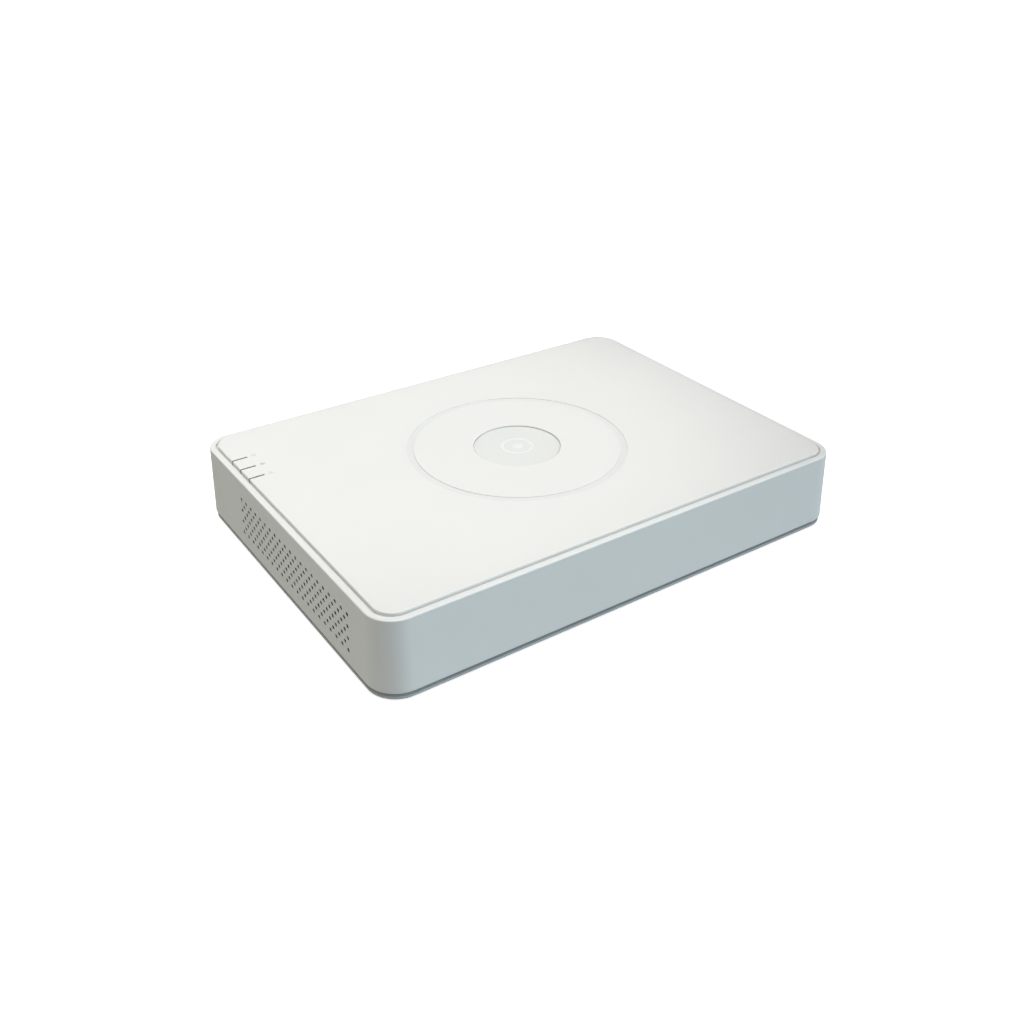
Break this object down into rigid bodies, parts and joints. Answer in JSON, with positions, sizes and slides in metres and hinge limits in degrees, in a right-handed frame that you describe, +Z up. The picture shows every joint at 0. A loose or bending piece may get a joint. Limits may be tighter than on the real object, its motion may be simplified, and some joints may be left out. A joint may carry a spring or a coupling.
{
  "type": "video recorder",
  "caption": "Compact white video recorder with a flat two-part moulded case, side vents, a ringed top panel, a rear connector row, a hard disk and a fan.",
  "frame": {"origin": "middle of the whole footprint, connectors included, on the plane the feet rest on", "axes": "+Z up, +X to the right seen from the plain front side, +Y towards the rear connectors"},
  "size_m": [0.285, 0.2156, 0.045],
  "materials": {
    "white_plastic": "fine moulded texture, satin",
    "badge_plastic": "gloss",
    "base_plastic": "fine moulded texture, satin",
    "guide_plastic": "clear, slightly milky",
    "sheet_steel": "fine powder coat",
    "foot_rubber": "matt",
    "screw_steel": "zinc plated",
    "brass": "plated",
    "circuit_board": "solder mask with copper tracks",
    "chip_plastic": "moulded epoxy",
    "sink_metal": "black anodised",
    "capacitor_can": "drawn can",
    "ferrite": "sintered",
    "cell_steel": "spun",
    "connector_black": "moulded",
    "light_resin": "clear resin",
    "header_nylon": "moulded nylon",
    "nickel": "nickel plated",
    "contact_gold": "gold plated",
    "audio_plastic": "moulded",
    "monitor_blue": "moulded",
    "cast_aluminium": "die cast, machined faces",
    "lid_steel": "pressed sheet",
    "platter_coating": "polished",
    "arm_aluminium": "machined",
    "magnet_plating": "nickel plated",
    "data_cable_jacket": "soft vinyl",
    "power_cable_jacket": "soft vinyl",
    "fan_plastic": "moulded",
    "fan_cable_jacket": "soft vinyl"
  },
  "bodies": {
    "base": {"base_tray": "base_plastic", "rear_panel": "sheet_steel", "rubber_feet": "foot_rubber", "case_screws": "screw_steel", "panel_screws": "screw_steel", "ground_screw": "brass", "main_board": "circuit_board", "board_screws": "screw_steel", "main_chip": "chip_plastic", "heat_sink": "sink_metal", "memory_chips": "chip_plastic", "video_chips": "chip_plastic", "network_transformer": "chip_plastic", "capacitors": "capacitor_can", "inductors": "ferrite", "coin_cell": "cell_steel", "cell_holder": "connector_black", "buzzer": "connector_black", "status_lights": "light_resin", "board_headers": "header_nylon", "video_socket_1": "nickel", "video_socket_2": "nickel", "video_socket_3": "nickel", "video_socket_4": "nickel", "video_insulators": "header_nylon", "video_contacts": "contact_gold", "audio_in_socket": "nickel", "audio_out_socket": "nickel", "audio_insulators": "audio_plastic", "monitor_shell": "nickel", "monitor_insert": "monitor_blue", "monitor_jackscrews": "nickel", "display_shell": "nickel", "display_tongue": "connector_black", "usb_shell_1": "nickel", "usb_shell_2": "nickel", "usb_tongues": "connector_black", "network_socket": "nickel", "network_contacts": "contact_gold", "power_socket": "connector_black", "power_pin": "nickel", "disk_casting": "cast_aluminium", "disk_lid": "lid_steel", "disk_magnets": "magnet_plating", "disk_board": "circuit_board", "disk_connector": "connector_black", "disk_lid_screws": "screw_steel", "disk_mount_screws": "screw_steel", "data_cable": "data_cable_jacket", "disk_power_cable": "power_cable_jacket", "cable_plugs": "connector_black", "fan_frame": "fan_plastic", "fan_cable": "fan_cable_jacket"},
    "cover": {"upper_case": "white_plastic", "top_panel": "white_plastic", "badge_disc": "badge_plastic", "light_guide": "guide_plastic"},
    "fan_rotor": {"fan_rotor": "fan_plastic"},
    "disk_platters": {"disk_platters": "platter_coating"},
    "disk_arm": {"disk_arm": "arm_aluminium"}
  },
  "joints": [
    {"name": "cover_lift", "type": "slide", "parent": "base", "child": "cover", "axis": [0, 0, 1], "range_m": [0, 0.07]},
    {"name": "fan_spin", "type": "hinge", "parent": "base", "child": "fan_rotor", "pos_m": [-0.1372, -0.01476, 0.0202], "axis": [1, 0, 0], "continuous": true},
    {"name": "platter_spin", "type": "hinge", "parent": "base", "child": "disk_platters", "pos_m": [0.0702, -0.04546, 0.012], "axis": [0, 0, 1], "continuous": true},
    {"name": "arm_swing", "type": "hinge", "parent": "base", "child": "disk_arm", "pos_m": [0.018, -0.06576, 0.012], "axis": [0, 0, -1], "range_deg": [0, 30]}
  ]
}
